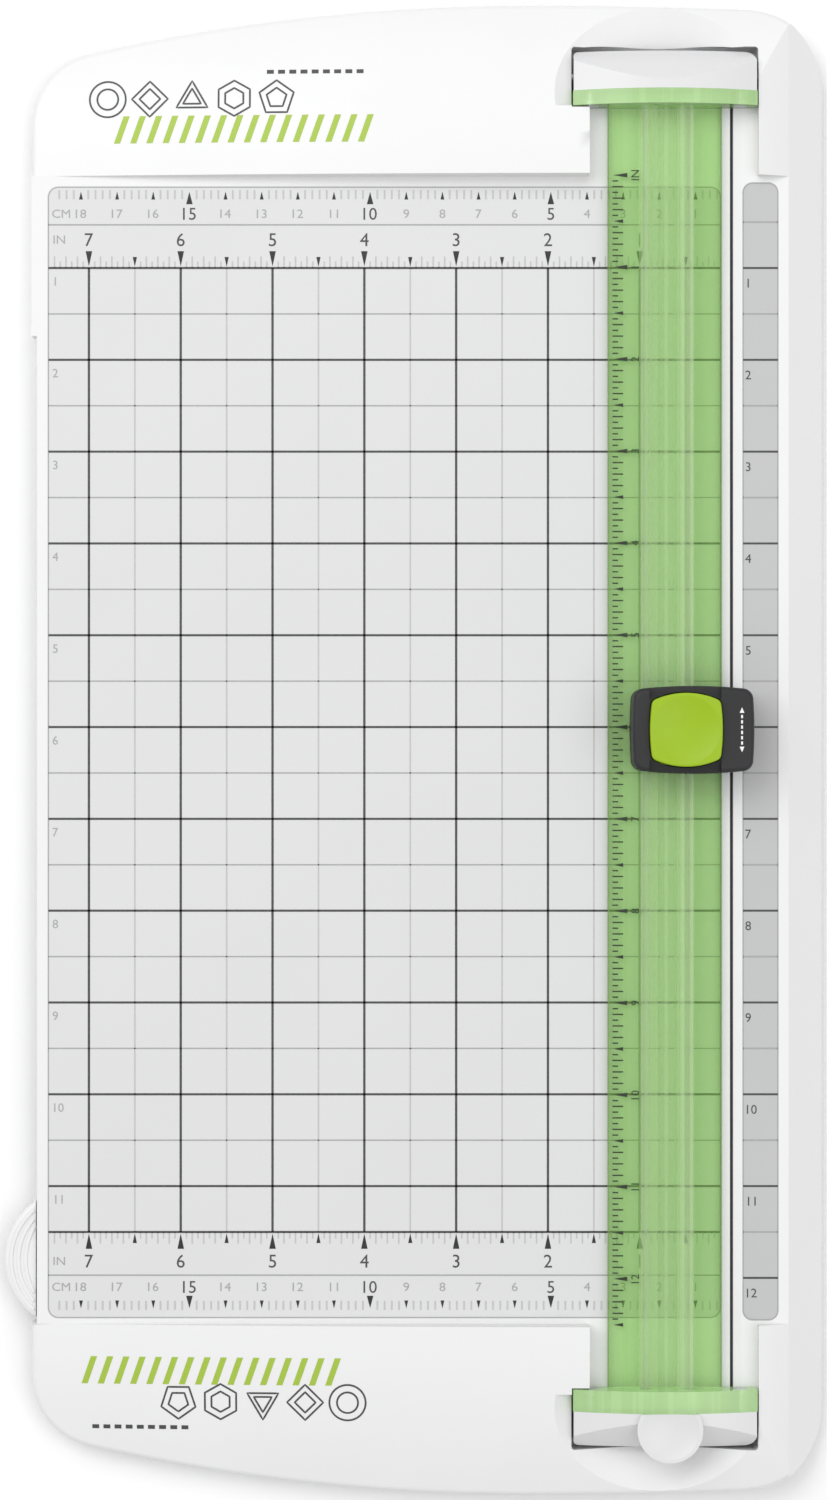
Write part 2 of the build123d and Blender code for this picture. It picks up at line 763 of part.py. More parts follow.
with BuildPart() as cap_screws:
    for end, inner, cap_y in ((1, rail_far, cap_inner), (-1, -rail_near, latch_cap_inner)):
        for x in cap_screw_x:
            with BuildSketch(Plane(origin=(x, end * inner, cap_screw_z), z_dir=(0, end, 0))):
                Circle(cap_screw_head_r)
            extrude(amount=cap_screw_head_t)
            with BuildSketch(Plane(origin=(x, end * inner, cap_screw_z), z_dir=(0, end, 0))):
                Circle(cap_screw_r)
            extrude(amount=cap_y - inner + cap_screw_bite)
cap_screws.part.label = "cap_screws"
export_step(cap_screws.part, "parts/cap_screws.step")

# Carriage: a housing that straddles the track, with a guard over the blade on the right
with BuildPart() as carriage_body:
    carriage_x = (carriage_left + carriage_right) / 2
    with BuildSketch(Plane.XY.offset(guard_bottom)):
        with Locations((carriage_x, carriage_y)):
            carriage_w = carriage_right - carriage_left
            bulges = (carriage_side_bulge, carriage_end_bulge)
            add(barrel(carriage_w, 2 * carriage_half_l, *bulges, carriage_corner_r))
    extrude(amount=carriage_top - guard_bottom)
    fillet(carriage_body.faces().sort_by(Axis.Z)[-1].edges(), carriage_fillet)
    # finger scoops before and behind the button
    for end in (1, -1):
        with BuildSketch(Plane.YZ.offset(finger_left)):
            with BuildLine():
                start = (carriage_y + end * finger_start, carriage_top)
                low = (carriage_y + end * (carriage_half_l + 1), finger_z)
                ThreePointArc(start, (carriage_y + end * finger_middle, finger_middle_z), low)
                Polyline(low, (low[0], carriage_top), start)
            make_face()
        extrude(amount=finger_right - finger_left, mode=Mode.SUBTRACT)
    # underside, stepped over the rail
    with BuildSketch(Plane.XZ.offset(carriage_half_l)):
        with BuildLine():
            Polyline(
                (rail_left, guard_bottom - 1), (rail_left, skirt_bottom), (skirt_right, skirt_bottom),
                (skirt_right, carriage_floor), (rib_right + slack, carriage_floor),
                (rib_right + slack, skirt_bottom), (guard_left, skirt_bottom),
                (guard_left, guard_bottom - 1), close=True,
            )
        make_face()
    extrude(amount=-4 * carriage_half_l, mode=Mode.SUBTRACT)
    # cavity, opening for the button, way down for the blade carrier, and the blade's chamber
    with BuildSketch(Plane.XY.offset(carriage_floor + floor_t)):
        with Locations(((cavity_left + cavity_right) / 2, carriage_y)):
            Rectangle(cavity_right - cavity_left, 2 * cavity_half_l)
    extrude(amount=cavity_top - carriage_floor - floor_t, mode=Mode.SUBTRACT)
    with BuildSketch(Plane.XY.offset(cavity_top)):
        with Locations((button_x, carriage_y)):
            bulges = (button_side_bulge, button_end_bulge)
            add(barrel(button_w + 2 * button_gap, button_l + 2 * button_gap, *bulges, button_corner_r))
    extrude(amount=carriage_top, mode=Mode.SUBTRACT)
    with BuildSketch(Plane.XY.offset(guard_bottom)):
        with Locations(((carrier_left - slack + cavity_right) / 2, carriage_y)):
            Rectangle(cavity_right - carrier_left + slack, 2 * (carrier_r + slack))
    extrude(amount=carriage_floor + floor_t - guard_bottom, mode=Mode.SUBTRACT)
    with BuildSketch(Plane.XY.offset(guard_bottom)):
        with Locations(((cavity_right + chamber_right) / 2, carriage_y)):
            Rectangle(chamber_right - cavity_right, 2 * chamber_half_l)
    extrude(amount=chamber_top - guard_bottom, mode=Mode.SUBTRACT)
    # post inside the spring, and screw holes to the slider
    with BuildSketch(Plane.XY.offset(carriage_floor + floor_t)):
        with Locations((spring_x, carriage_y)):
            Circle(post_r)
    extrude(amount=post_h)
    with BuildSketch(Plane.XY.offset(carriage_floor)):
        with Locations(*slider_screw_places):
            Circle(slider_screw_r)
    extrude(amount=floor_t, mode=Mode.SUBTRACT)
carriage_body.part.label = "carriage_body"
export_step(carriage_body.part, "parts/carriage_body.step")

with BuildPart() as carriage_slider:
    shoe_left = rib_left + rib_wall + slack
    shoe_right = rib_right - rib_wall - slack
    with BuildSketch(Plane.XZ.offset(-carriage_y - slider_half_l)):
        with BuildLine():
            Polyline(
                (shoe_left, web_top + slack), (shoe_right, web_top + slack),
                (shoe_right, track_lip_z - slack), (track_slot_right - slack, track_lip_z - slack),
                (track_slot_right - slack, carriage_floor), (track_slot_left + slack, carriage_floor),
                (track_slot_left + slack, track_lip_z - slack), (shoe_left, track_lip_z - slack),
                close=True,
            )
        make_face()
    extrude(amount=2 * slider_half_l)
    with BuildSketch(Plane.XY.offset(carriage_floor)):
        with Locations(*slider_screw_places):
            Circle(slider_screw_r)
    extrude(amount=-slider_bite, mode=Mode.SUBTRACT)
carriage_slider.part.label = "carriage_slider"
export_step(carriage_slider.part, "parts/carriage_slider.step")

with BuildPart() as slider_screws:
    with BuildSketch(Plane.XY.offset(carriage_floor + floor_t)):
        with Locations(*slider_screw_places):
            Circle(slider_head_r)
    extrude(amount=slider_head_t)
    with BuildSketch(Plane.XY.offset(carriage_floor - slider_bite)):
        with Locations(*slider_screw_places):
            Circle(slider_screw_r)
    extrude(amount=slider_bite + floor_t)
slider_screws.part.label = "slider_screws"
export_step(slider_screws.part, "parts/slider_screws.step")

with BuildPart() as press_button:
    with BuildSketch(Plane.XY.offset(button_flange_bottom)):
        with Locations((button_x, carriage_y)):
            add(barrel(button_w, button_l, button_side_bulge, button_end_bulge, button_corner_r))
    extrude(amount=button_top - button_flange_bottom)
    with Locations((button_x, carriage_y, button_top - dish_depth + dish_r)):
        Sphere(dish_r, mode=Mode.SUBTRACT)
    fillet(press_button.edges().group_by(Axis.Z)[-1], button_edge_r)
    with BuildSketch(Plane.XY.offset(button_flange_bottom)):
        with Locations((button_x, carriage_y)):
            RectangleRounded(button_flange_w, button_flange_l, button_flange_corner_r)
    extrude(amount=button_flange_top - button_flange_bottom)
    with BuildSketch(Plane.XY.offset(button_flange_bottom)):
        with Locations((spring_x, carriage_y)):
            Circle(pocket_r)
    extrude(amount=spring_top - button_flange_bottom, mode=Mode.SUBTRACT)
    with BuildSketch(Plane.XY.offset(button_flange_bottom)):
        with Locations((carrier_left + carrier_web_t / 2, carriage_y)):
            Rectangle(carrier_web_t, 2 * carrier_r)
    extrude(amount=carrier_top - button_flange_bottom, mode=Mode.SUBTRACT)
press_button.part.label = "press_button"
export_step(press_button.part, "parts/press_button.step")

# Carrier: a web that plugs into the button, with a boss along the axle
with BuildPart() as blade_carrier:
    with BuildSketch(Plane.YZ.offset(carrier_left)):
        with Locations((carriage_y, axle_z)):
            Circle(carrier_r)
    extrude(amount=boss_end - carrier_left)
    with BuildSketch(Plane.YZ.offset(carrier_left)):
        with Locations((carriage_y, axle_z)):
            Rectangle(2 * carrier_r, carrier_top - axle_z, align=(Align.CENTER, Align.MIN))
    extrude(amount=carrier_web_t)
    with BuildSketch(Plane.YZ.offset(carrier_left)):
        with Locations((carriage_y, axle_z)):
            Circle(axle_r)
    extrude(amount=boss_end - carrier_left, mode=Mode.SUBTRACT)
blade_carrier.part.label = "blade_carrier"
export_step(blade_carrier.part, "parts/blade_carrier.step")

with BuildPart() as blade_axle:
    with BuildSketch(Plane.YZ.offset(carrier_left)):
        with Locations((carriage_y, axle_z)):
            Circle(axle_r)
    extrude(amount=washer_left + washer_thin - carrier_left)
    with BuildSketch(Plane.YZ.offset(washer_left + washer_thin)):
        with Locations((carriage_y, axle_z)):
            Circle(axle_head_r)
    extrude(amount=axle_head_t)
blade_axle.part.label = "blade_axle"
export_step(blade_axle.part, "parts/blade_axle.step")

with BuildPart() as blade_washer:
    with BuildSketch(Plane.YZ.offset(washer_left)):
        with Locations((carriage_y, axle_z)):
            Circle(carrier_r)
            Circle(axle_r, mode=Mode.SUBTRACT)
    extrude(amount=washer_thin)
blade_washer.part.label = "blade_washer"
export_step(blade_washer.part, "parts/blade_washer.step")

# Blade: a thin disc, bevelled to its edge, turned about the axle
with BuildPart() as rotary_blade:
    with BuildSketch(Plane(origin=(cut_x, carriage_y, axle_z), x_dir=(0, 0, 1), z_dir=(0, 1, 0))):
        with BuildLine():
            Polyline(
                (axle_r + running_gap, -blade_t / 2), (blade_r - blade_bevel, -blade_t / 2), (blade_r, 0),
                (blade_r - blade_bevel, blade_t / 2), (axle_r + running_gap, blade_t / 2), close=True,
            )
        make_face()
    revolve(axis=Axis((cut_x, carriage_y, axle_z), (1, 0, 0)))
rotary_blade.part.label = "rotary_blade"
export_step(rotary_blade.part, "parts/rotary_blade.step")

with BuildPart() as button_spring:
    seat_z = carriage_floor + floor_t + spring_wire_r
    spring_h = spring_top - spring_wire_r - seat_z
    with BuildLine(Plane(origin=(spring_x, carriage_y, seat_z))) as coil:
        Helix(pitch=spring_h / spring_turns, height=spring_h, radius=spring_r)
    with BuildSketch(Plane(origin=coil.line @ 0, z_dir=coil.line % 0)):
        Circle(spring_wire_r)
    sweep(path=coil.line)
button_spring.part.label = "button_spring"
export_step(button_spring.part, "parts/button_spring.step")

# Swing-out arm: a flat bar, round at the pivot, with a ridged thumb tab near its free end
with BuildPart() as extension_arm:
    with BuildSketch(Plane.XY.offset(arm_bottom)) as bar:
        with Locations((arm_pivot_x, arm_pivot_y)):
            Rectangle(2 * arm_half_w, arm_pivot_y - arm_end_y, align=(Align.CENTER, Align.MAX))
        fillet(bar.vertices().group_by(Axis.Y)[0], arm_corner_r)
        with Locations((arm_pivot_x, arm_pivot_y)):
            Circle(arm_half_w)
            Circle(pivot_r + running_gap, mode=Mode.SUBTRACT)
    extrude(amount=arm_top - arm_bottom)
    with BuildSketch(Plane.XY.offset(tab_bottom)):
        with BuildLine():
            ThreePointArc((tab_root_x, tab_far_y), (tab_out_x, tab_mid_y), (tab_root_x, arm_end_y))
            Line((tab_root_x, arm_end_y), (tab_root_x, tab_far_y))
        make_face()
    extrude(amount=tab_top - tab_bottom)
    fillet(extension_arm.faces().sort_by(Axis.Z)[-1].edges().filter_by(GeomType.CIRCLE), tab_edge_r)
    with BuildSketch(Plane.XY.offset(tab_top)):
        for ridge in range(1, tab_ridges + 1):
            inset = ridge_pitch * ridge
            far_y, near_y = tab_far_y - ridge_shortening * inset, arm_end_y + ridge_shortening * inset
            with BuildLine():
                ThreePointArc(
                    (tab_root_x - ridge_root, far_y), (tab_out_x + inset, tab_mid_y),
                    (tab_root_x - ridge_root, near_y),
                )
            trace(line_width=ridge_w)
    extrude(amount=ridge_h)
extension_arm.part.label = "extension_arm"
export_step(extension_arm.part, "parts/extension_arm.step")
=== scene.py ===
import math

import bpy
import numpy as np
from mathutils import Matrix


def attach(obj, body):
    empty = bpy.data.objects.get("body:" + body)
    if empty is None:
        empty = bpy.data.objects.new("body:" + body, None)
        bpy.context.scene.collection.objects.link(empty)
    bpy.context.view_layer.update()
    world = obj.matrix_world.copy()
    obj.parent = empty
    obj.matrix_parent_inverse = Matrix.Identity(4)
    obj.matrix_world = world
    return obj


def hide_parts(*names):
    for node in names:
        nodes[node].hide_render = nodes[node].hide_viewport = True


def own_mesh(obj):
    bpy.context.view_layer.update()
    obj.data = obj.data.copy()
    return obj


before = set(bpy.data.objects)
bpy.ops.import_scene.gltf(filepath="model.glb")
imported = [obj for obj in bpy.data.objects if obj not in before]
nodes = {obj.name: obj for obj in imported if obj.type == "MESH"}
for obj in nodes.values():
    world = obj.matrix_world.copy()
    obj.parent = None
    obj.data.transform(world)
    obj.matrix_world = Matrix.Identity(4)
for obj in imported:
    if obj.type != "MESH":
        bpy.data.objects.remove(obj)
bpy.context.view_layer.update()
mm = 0.001  # lengths below are in millimetres; only the depths of bumps are in metres
inch = 25.4
print("stage: frame loaded,", len(nodes), "parts")


# Shader maths

class Link:
    # an output socket; a sum or product of links adds its Math node
    def __init__(self, finish, socket):
        self.finish = finish
        self.socket = socket

    def maths(self, operation, first, second):
        return self.finish.add("ShaderNodeMath", {"operation": operation}, {0: first, 1: second})

    def __add__(self, other):
        return self.maths("ADD", self, other)

    def __sub__(self, other):
        return self.maths("SUBTRACT", self, other)

    def __rsub__(self, other):
        return self.maths("SUBTRACT", other, self)

    def __mul__(self, other):
        return self.maths("MULTIPLY", self, other)

    def __pow__(self, other):
        return self.maths("POWER", self, other)

    __radd__ = __add__
    __rmul__ = __mul__

    def above(self, level, soft):
        # 0 below the level, 1 a soft width above it
        return self.finish.add(
            "ShaderNodeMapRange",
            {"interpolation_type": "SMOOTHSTEP"},
            {"Value": self, "From Min": level, "From Max": level + soft},
        )

    def below(self, level, soft):
        return 1 - self.above(level, soft)


class Finish:
    # a material: the shader's fixed values, and one way to add any node
    def __init__(self, title, **fixed):
        self.material = bpy.data.materials.new(title)
        self.material.use_nodes = True
        self.tree = self.material.node_tree
        self.shader = self.tree.nodes["Principled BSDF"]
        self.place = self.add("ShaderNodeTexCoord", output="Object")
        self.plug(self.shader, {name.replace("_", " "): value for name, value in fixed.items()})

    def plug(self, node, sockets):
        for name, value in sockets.items():
            if isinstance(value, Link):
                self.tree.links.new(value.socket, node.inputs[name])
            elif isinstance(value, tuple) and node.inputs[name].type == "RGBA":
                node.inputs[name].default_value = value + (1,)
            else:
                node.inputs[name].default_value = value

    def add(self, kind, settings=None, sockets=None, output=0):
        node = self.tree.nodes.new(kind)
        for name, value in (settings or {}).items():
            setattr(node, name, value)
        self.plug(node, sockets or {})
        return Link(self, node.outputs[output])

    def along(self, axis):
        return self.add("ShaderNodeSeparateXYZ", {}, {0: self.place}, output=axis)

    def noise(self, scale, detail=2.0, stretch=(1, 1, 1)):
        # cloudy value from 0 to 1; scale counts features in a metre
        place = self.add("ShaderNodeMapping", {}, {"Vector": self.place, "Scale": stretch})
        sockets = {"Vector": place, "Scale": scale, "Detail": detail, "Roughness": 0.55}
        return self.add("ShaderNodeTexNoise", {}, sockets)

    def tones(self, share, first, second):
        return self.add("ShaderNodeMix", {"data_type": "RGBA"}, {0: share, 6: first, 7: second}, output=2)

    def mixed(self, share, first, second):
        return self.add("ShaderNodeMixShader", {}, {0: share, 1: first, 2: second})

    def paint(self, colour, roughness, height, strength, depth):
        bump = {"Strength": strength, "Distance": depth, "Height": height}
        normal = self.add("ShaderNodeBump", {}, bump, output="Normal")
        self.plug(self.shader, {"Base Color": colour, "Roughness": roughness, "Normal": normal})
        return self.material


# Moulded plastic and rubber; a noise's "from" and "soft" say where its marks begin and how softly

mouldWear = {
    "gloss": 0.5, "flow": 28, "flowShare": 0.7, "flowRough": 0.06,
    "specks": 0.12, "specksFrom": 0.68, "specksSoft": 0.04,
    "rubbed": 90, "rubbedFrom": 0.56, "rubbedSoft": 0.18, "rubbedRough": 0.07,
}


def mouldedPlastic(title, look):
    # slow clouds of shade from the mould's flow, fine spark-eroded grain, and a few dull rubbed patches
    look = {**mouldWear, **look}
    finish = Finish(title, IOR=1.5, Specular_IOR_Level=look["gloss"])
    flow = finish.noise(look["flow"], 3)
    grain = finish.noise(look["grain"], 2)
    rubbed = finish.noise(look["rubbed"], 5).above(look["rubbedFrom"], look["rubbedSoft"])
    specks = finish.noise(look["grain"] / 2, 1).above(look["specksFrom"], look["specksSoft"])
    shade = flow * look["flowShare"] + grain * (1 - look["flowShare"])
    colour = finish.tones(shade, look["light"], look["deep"])
    colour = finish.tones(specks * look["specks"], colour, look["deep"])
    roughness = look["rough"] + flow * look["flowRough"] + rubbed * look["rubbedRough"]
    return finish.paint(colour, roughness, grain, look["bump"], look["depth"])


shellLook = {
    "light": (0.835, 0.835, 0.835), "deep": (0.785, 0.785, 0.79), "rough": 0.34,
    "grain": 1500, "bump": 0.16, "depth": 0.00004, "specks": 0.05,
}
capLook = {
    "light": (0.745, 0.745, 0.75), "deep": (0.69, 0.69, 0.7), "rough": 0.28,
    "grain": 1700, "bump": 0.1, "depth": 0.00004, "specks": 0.05,
}
coverLook = {
    "light": (0.66, 0.67, 0.68), "deep": (0.56, 0.57, 0.58), "rough": 0.52, "gloss": 0.35,
    "grain": 900, "bump": 0.3, "depth": 0.00008,
}
carriageLook = {
    "light": (0.031, 0.031, 0.033), "deep": (0.019, 0.019, 0.021), "rough": 0.45, "gloss": 0.3,
    "grain": 1900, "bump": 0.45, "depth": 0.00008, "specks": 0.3,
}
buttonLook = {
    "light": (0.34, 0.52, 0.012), "deep": (0.29, 0.455, 0.008), "rough": 0.34, "gloss": 0.32,
    "grain": 1300, "bump": 0.12, "depth": 0.00004, "flow": 90,
}
sliderLook = {
    "light": (0.78, 0.77, 0.72), "deep": (0.68, 0.67, 0.6), "rough": 0.4,
    "grain": 700, "bump": 0.15, "depth": 0.00005,
}
carrierLook = {
    "light": (0.03, 0.03, 0.033), "deep": (0.016, 0.016, 0.018), "rough": 0.38,
    "grain": 1100, "bump": 0.2, "depth": 0.00005,
}
rubberLook = {
    "light": (0.05, 0.05, 0.052), "deep": (0.03, 0.03, 0.032), "rough": 0.78, "gloss": 0.25,
    "grain": 1600, "bump": 0.6, "depth": 0.00012,
}

shellPlastic = mouldedPlastic("white_shell_plastic", shellLook)
capPlastic = mouldedPlastic("white_cap_plastic", capLook)
coverPlastic = mouldedPlastic("grey_cover_plastic", coverLook)
carriagePlastic = mouldedPlastic("charcoal_textured_plastic", carriageLook)
buttonPlastic = mouldedPlastic("lime_satin_plastic", buttonLook)
sliderPlastic = mouldedPlastic("natural_nylon", sliderLook)
carrierPlastic = mouldedPlastic("black_nylon", carrierLook)
footRubber = mouldedPlastic("soft_foot_rubber", rubberLook)


# Plated steel and spring wire

platingWear = {
    "stainAndShade": 260, "stainFrom": 0.55, "stainSoft": 0.3, "stainShade": 0.35, "roughOfStainAndShade": 0.1,
    "linesRough": 0.14, "bump": 0.25, "depth": 0.00003,
}


def metal(title, look):
    # fine lines or mottling in the plating, with small darker stains
    wear = platingWear
    finish = Finish(title, Metallic=1.0)
    lines = finish.noise(look["scale"], 4, look["stretch"])
    stainAndShade = finish.noise(wear["stainAndShade"], 4).above(wear["stainFrom"], wear["stainSoft"])
    colour = finish.tones(lines, look["light"], look["deep"])
    colour = finish.tones(stainAndShade * wear["stainShade"], colour, look["deep"])
    roughness = look["rough"] + lines * wear["linesRough"] + stainAndShade * wear["roughOfStainAndShade"]
    return finish.paint(colour, roughness, lines, wear["bump"], wear["depth"])


zincLook = {
    "light": (0.68, 0.68, 0.7), "deep": (0.46, 0.47, 0.5), "rough": 0.28,
    "scale": 900, "stretch": (1, 1, 1),
}
wireLook = {
    "light": (0.62, 0.62, 0.64), "deep": (0.4, 0.4, 0.42), "rough": 0.3,
    "scale": 1500, "stretch": (1, 1, 0.3),
}

zincSteel = metal("zinc_plated_steel", zincLook)
springWire = metal("music_wire", wireLook)


# Printed film of the mat and the side strip

filmWear = {
    "gloss": 0.4, "clouds": 16, "cloudShare": 0.75, "tooth": 2600, "toothRough": 0.1,
    "bump": 0.2, "depth": 0.00003,
    "scratch": 1400, "scratchStretch": (1, 0.02, 1), "scratchFrom": 0.66, "scratchSoft": 0.08,
    "patch": 60, "patchFrom": 0.5, "patchSoft": 0.15, "scratchShade": 0.35, "scratchDepth": 0.6,
}


def printedFilm(title, look):
    # matt laminate: a fine tooth, slow shade clouds, and patches of hairline scratches along the cut
    wear = filmWear
    finish = Finish(title, Specular_IOR_Level=wear["gloss"])
    clouds = finish.noise(wear["clouds"], 3)
    tooth = finish.noise(wear["tooth"], 2)
    hairlines = finish.noise(wear["scratch"], 2, wear["scratchStretch"])
    patch = finish.noise(wear["patch"], 2).above(wear["patchFrom"], wear["patchSoft"])
    scratch = hairlines.above(wear["scratchFrom"], wear["scratchSoft"]) * patch
    shade = clouds * wear["cloudShare"] + tooth * (1 - wear["cloudShare"])
    colour = finish.tones(shade, look["light"], look["deep"])
    colour = finish.tones(scratch * wear["scratchShade"], colour, look["deep"])
    roughness = look["rough"] + tooth * wear["toothRough"] - scratch * wear["toothRough"]
    height = tooth - scratch * wear["scratchDepth"]
    return finish.paint(colour, roughness, height, wear["bump"], wear["depth"])


filmLook = {"light": (0.71, 0.71, 0.713), "deep": (0.66, 0.66, 0.667), "rough": 0.46}
stripLook = {"light": (0.54, 0.54, 0.543), "deep": (0.49, 0.49, 0.495), "rough": 0.46}

matFilm = printedFilm("grey_grid_film", filmLook)
stripFilm = printedFilm("grey_strip_film", stripLook)


# Insert under the blade

grooveLook = {
    # the darkest of the three tones is painted shade, laid along the groove
    "light": (0.83, 0.83, 0.835), "deep": (0.76, 0.76, 0.77), "paintedGrooveShade": (0.1, 0.1, 0.103),
    "gloss": 0.4, "rough": 0.42, "cloudRough": 0.08, "roughOfStainAndShade": 0.2,
    "line": 84.0, "wide": 0.36, "soft": 0.12, "clouds": 40, "bump": 0.25, "depth": 0.00004,
    "nick": 900, "nickStretch": (1, 0.12, 1), "nickReach": 0.9, "nickFade": 0.3, "nickFrom": 0.62,
    "nickSoft": 0.05, "nickShade": 0.4,
}


def cutInsert(title, look):
    # soft white strip; its groove is darkened with painted shade, with short nicks in its lips.
    # The distance from the groove's line is the root of its square
    finish = Finish(title, Specular_IOR_Level=look["gloss"])
    clouds = finish.noise(look["clouds"], 3)
    nick = finish.noise(look["nick"], 2, look["nickStretch"]).above(look["nickFrom"], look["nickSoft"])
    across = finish.along("X") - look["line"] * mm
    offset = (across * across) ** 0.5
    # painted shade: a dark band along the cut line, down in the groove
    stainAndShade = offset.below(look["wide"] * mm, look["soft"] * mm)
    nicks = offset.below(look["nickReach"] * mm, look["nickFade"] * mm) * nick
    colour = finish.tones(clouds, look["light"], look["deep"])
    colour = finish.tones(nicks * look["nickShade"], colour, look["deep"])
    colour = finish.tones(stainAndShade, colour, look["paintedGrooveShade"])
    roughness = look["rough"] + clouds * look["cloudRough"] + stainAndShade * look["roughOfStainAndShade"]
    return finish.paint(colour, roughness, clouds - nicks, look["bump"], look["depth"])


grooveStrip = cutInsert("white_groove_strip", grooveLook)


# Rail

railLook = {
    # the pale crown tone also serves as painted light under the track's slot
    "milky": (0.42, 0.8, 0.2), "milkyFlange": (0.62, 0.94, 0.44), "milkyCrownAndSlotLight": (0.8, 0.97, 0.62),
    # the dark edge tone, and further on the edge cover, are painted shade along both edges of the rail
    "edgeShadeTone": (0.25, 0.4, 0.15), "rough": 0.1, "dieRough": 0.05, "bump": 0.12, "depth": 0.00005,
    "skin": (0.99, 0.995, 0.985), "deepSkin": (0.855, 0.96, 0.755), "index": 1.49,
    # the track's paleness, and further on its cover, are painted light under the slot
    "slotPaintedLight": 0.6, "markPale": 0.4,
    "haze": 0.04, "deepHaze": 0.17, "flangeHaze": 0.5, "crownHaze": 0.03, "edgeShadeCover": 0.3,
    "streakHaze": 0.05, "wallHaze": 0.32, "slotPaintedLightCover": 0.09, "markHaze": 0.11, "cloudHaze": 0.03,
    "glossHaze": 0.5, "bottom": 13.45, "crown": 19.3, "wallFoot": 15.8, "wallTop": 18.0,
    "nearFlange": -176.1, "farFlange": 177.5, "middle": 65.4, "halfWidth": 15.35,
    "trackMiddle": 65.8, "trackHalf": 7.4, "soft": 0.1, "flangeSoft": 0.2,
    "marks": ((60.3, 0.4), (65.9, 0.45), (70.3, 0.45), (72.8, 0.35)),  # place across, half width
    "dieLines": 700, "dieStretch": (1, 0.01, 1), "clouds": 30,
    "streaks": 420, "streakStretch": (1, 0.004, 1), "streakFrom": 0.52, "streakSoft": 0.12,
}


def tintedAcrylic(title, look):
    # lime extrusion that lets the print below show: drawn-out die lines and pale streaks along its
    # length, a deep tint in its flat bottom face, and a milky haze, stronger in the flanges at its
    # ends and paler on the track's crown. Painted shade darkens both edges, and painted light makes
    # the bottom face under the track's slot paler
    finish = Finish(title, IOR=look["index"])
    soft = look["soft"] * mm
    flangeSoft = look["flangeSoft"] * mm
    across, alongRail, height = (finish.along(axis) for axis in "XYZ")

    def within(middle, half):
        # 1 nearer than half a width to a line along the rail: the distance is the root of its square
        offset = across - middle * mm
        return ((offset * offset) ** 0.5).below(half * mm, soft)

    dieLines = finish.noise(look["dieLines"], 3, look["dieStretch"])
    clouds = finish.noise(look["clouds"], 3)
    flange = alongRail.above(look["farFlange"] * mm, flangeSoft)
    flange = flange + alongRail.below(look["nearFlange"] * mm, flangeSoft)
    extrusion = 1 - flange
    bottom = height.below(look["bottom"] * mm, soft)
    crown = height.above(look["crown"] * mm, soft) * extrusion
    walls = height.above(look["wallFoot"] * mm, soft) * height.below(look["wallTop"] * mm, soft)
    walls = walls * extrusion
    # painted shade: both edges of the rail are darkened and clouded
    edge = (1 - within(look["middle"], look["halfWidth"])) * extrusion
    # painted light: the bottom face under the track's slot is made paler and hazier, to fill the shade
    # that the slot's walls cast there
    track = within(look["trackMiddle"], look["trackHalf"]) * bottom * extrusion
    marks = sum(within(middle, half) for middle, half in look["marks"]) * bottom
    streaks = finish.noise(look["streaks"], 2, look["streakStretch"])
    streaks = streaks.above(look["streakFrom"], look["streakSoft"]) * (1 - edge)

    colour = finish.tones(flange, look["milky"], look["milkyFlange"])
    pale = crown + track * look["slotPaintedLight"] + marks * look["markPale"]
    colour = finish.tones(pale, colour, look["milkyCrownAndSlotLight"])
    colour = finish.tones(edge, colour, look["edgeShadeTone"])
    roughness = look["rough"] + dieLines * look["dieRough"]
    material = finish.paint(colour, roughness, dieLines, look["bump"], look["depth"])

    gloss = finish.add("ShaderNodeFresnel", {}, {"IOR": look["index"]})
    cover = bottom * (look["deepHaze"] - look["haze"]) + look["haze"] + flange * look["flangeHaze"]
    cover = cover + crown * look["crownHaze"] + edge * look["edgeShadeCover"] + streaks * look["streakHaze"]
    cover = cover + walls * look["wallHaze"] + track * look["slotPaintedLightCover"] + marks * look["markHaze"]
    cover = cover + clouds * look["cloudHaze"] + gloss * look["glossHaze"]
    skin = finish.add("ShaderNodeBsdfTransparent", {}, {"Color": look["skin"]})
    deepSkin = finish.add("ShaderNodeBsdfTransparent", {}, {"Color": look["deepSkin"]})
    milky = Link(finish, finish.shader.outputs["BSDF"])
    surface = finish.mixed(cover, finish.mixed(bottom, skin, deepSkin), milky)
    finish.plug(finish.tree.nodes["Material Output"], {"Surface": surface})
    return material


railAcrylic = tintedAcrylic("lime_tinted_acrylic", railLook)


# Blade

bladeLook = {
    "light": (0.82, 0.82, 0.84), "deep": (0.55, 0.56, 0.58), "rough": 0.2, "axle": (5.5, 22.2),
    "edge": 7.2, "soft": 0.08, "edgeBright": 0.7, "edgeSmooth": 0.12, "rings": 5200.0, "ringsRough": 0.16,
    "bump": 0.2, "depth": 0.00002,
}


def groundSteel(title, look):
    # grinding rings round the axle, and a finer bright bevel outside them: the radius is the root of
    # the sum of the squares of the distances across and up from the axle
    finish = Finish(title, Metallic=1.0)
    across = finish.along("Y") - look["axle"][0] * mm
    up = finish.along("Z") - look["axle"][1] * mm
    radius = (across * across + up * up) ** 0.5
    place = finish.add("ShaderNodeCombineXYZ", {}, {0: radius})
    rings = finish.add("ShaderNodeTexNoise", {}, {"Vector": place, "Scale": look["rings"], "Detail": 3.0})
    bevel = radius.above(look["edge"] * mm, look["soft"] * mm)
    colour = finish.tones(rings * (1 - bevel * look["edgeBright"]), look["light"], look["deep"])
    roughness = look["rough"] + rings * look["ringsRough"] - bevel * look["edgeSmooth"]
    return finish.paint(colour, roughness, rings, look["bump"], look["depth"])


bladeSteel = groundSteel("ground_blade_steel", bladeLook)


# Inks

